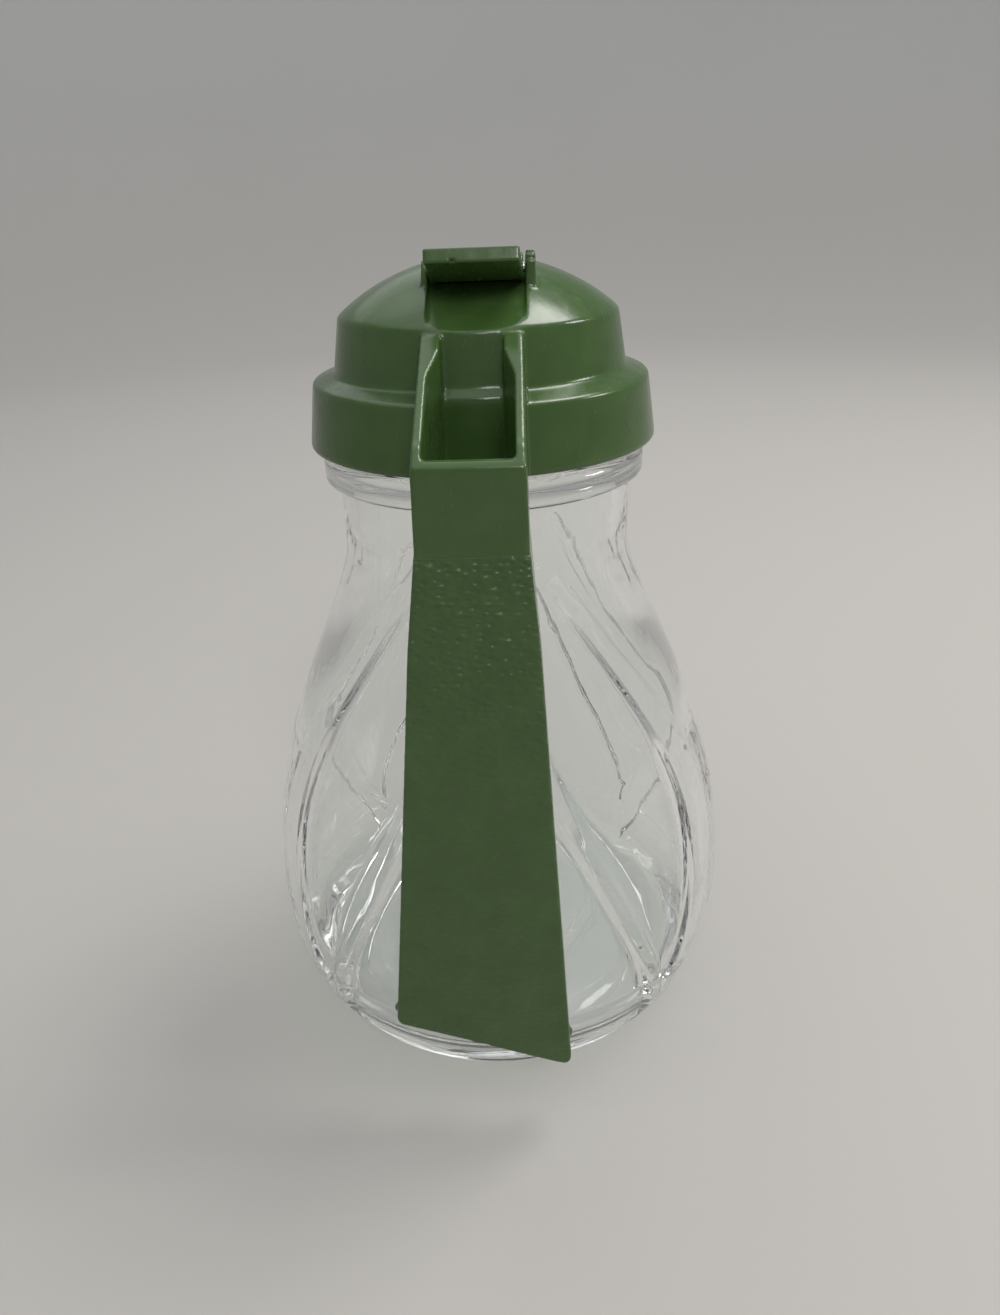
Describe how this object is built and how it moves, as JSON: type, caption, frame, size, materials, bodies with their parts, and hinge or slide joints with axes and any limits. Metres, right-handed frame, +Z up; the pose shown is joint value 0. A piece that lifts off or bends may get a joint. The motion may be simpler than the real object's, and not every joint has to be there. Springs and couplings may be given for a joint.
{
  "type": "syrup pitcher",
  "caption": "Clear ribbed glass syrup pitcher with a green moulded screw cap, a long hanging channel handle and a thumb-pressed flap over the pour hole.",
  "frame": {"origin": "centre of the jar's foot, on the surface that the pitcher stands on", "axes": "+Z up along the jar's axis, -Y towards the handle, +Y towards the pour hole"},
  "size_m": [0.097, 0.1027, 0.1538],
  "materials": {
    "clear_glass": "clear, smooth",
    "green_plastic": "glossy, with a pebbled grip on the handle",
    "steel": "satin",
    "seal_rubber": "matt"
  },
  "bodies": {
    "jar": {"glass_jar": "clear_glass"},
    "seal": {"rim_seal": "seal_rubber"},
    "cap": {"cap_handle": "green_plastic", "hinge_pin": "steel"},
    "flap": {"pour_flap": "green_plastic"}
  },
  "joints": [
    {"name": "cap_lift", "type": "slide", "parent": "jar", "child": "seal", "axis": [0, 0, 1], "range_m": [0, 0.0045]},
    {"name": "cap_turn", "type": "hinge", "parent": "seal", "child": "cap", "pos_m": [0, 0, 0.13], "axis": [0, 0, 1], "range_deg": [0, 450]},
    {"name": "flap_open", "type": "hinge", "parent": "cap", "child": "flap", "pos_m": [0.0006, -0.0126, 0.1498], "axis": [1, 0, 0], "range_deg": [0, 45]}
  ],
  "couplings": [
    {"joint": "cap_lift", "follows": "cap_turn", "m_per_rad": 0.00057295}
  ]
}
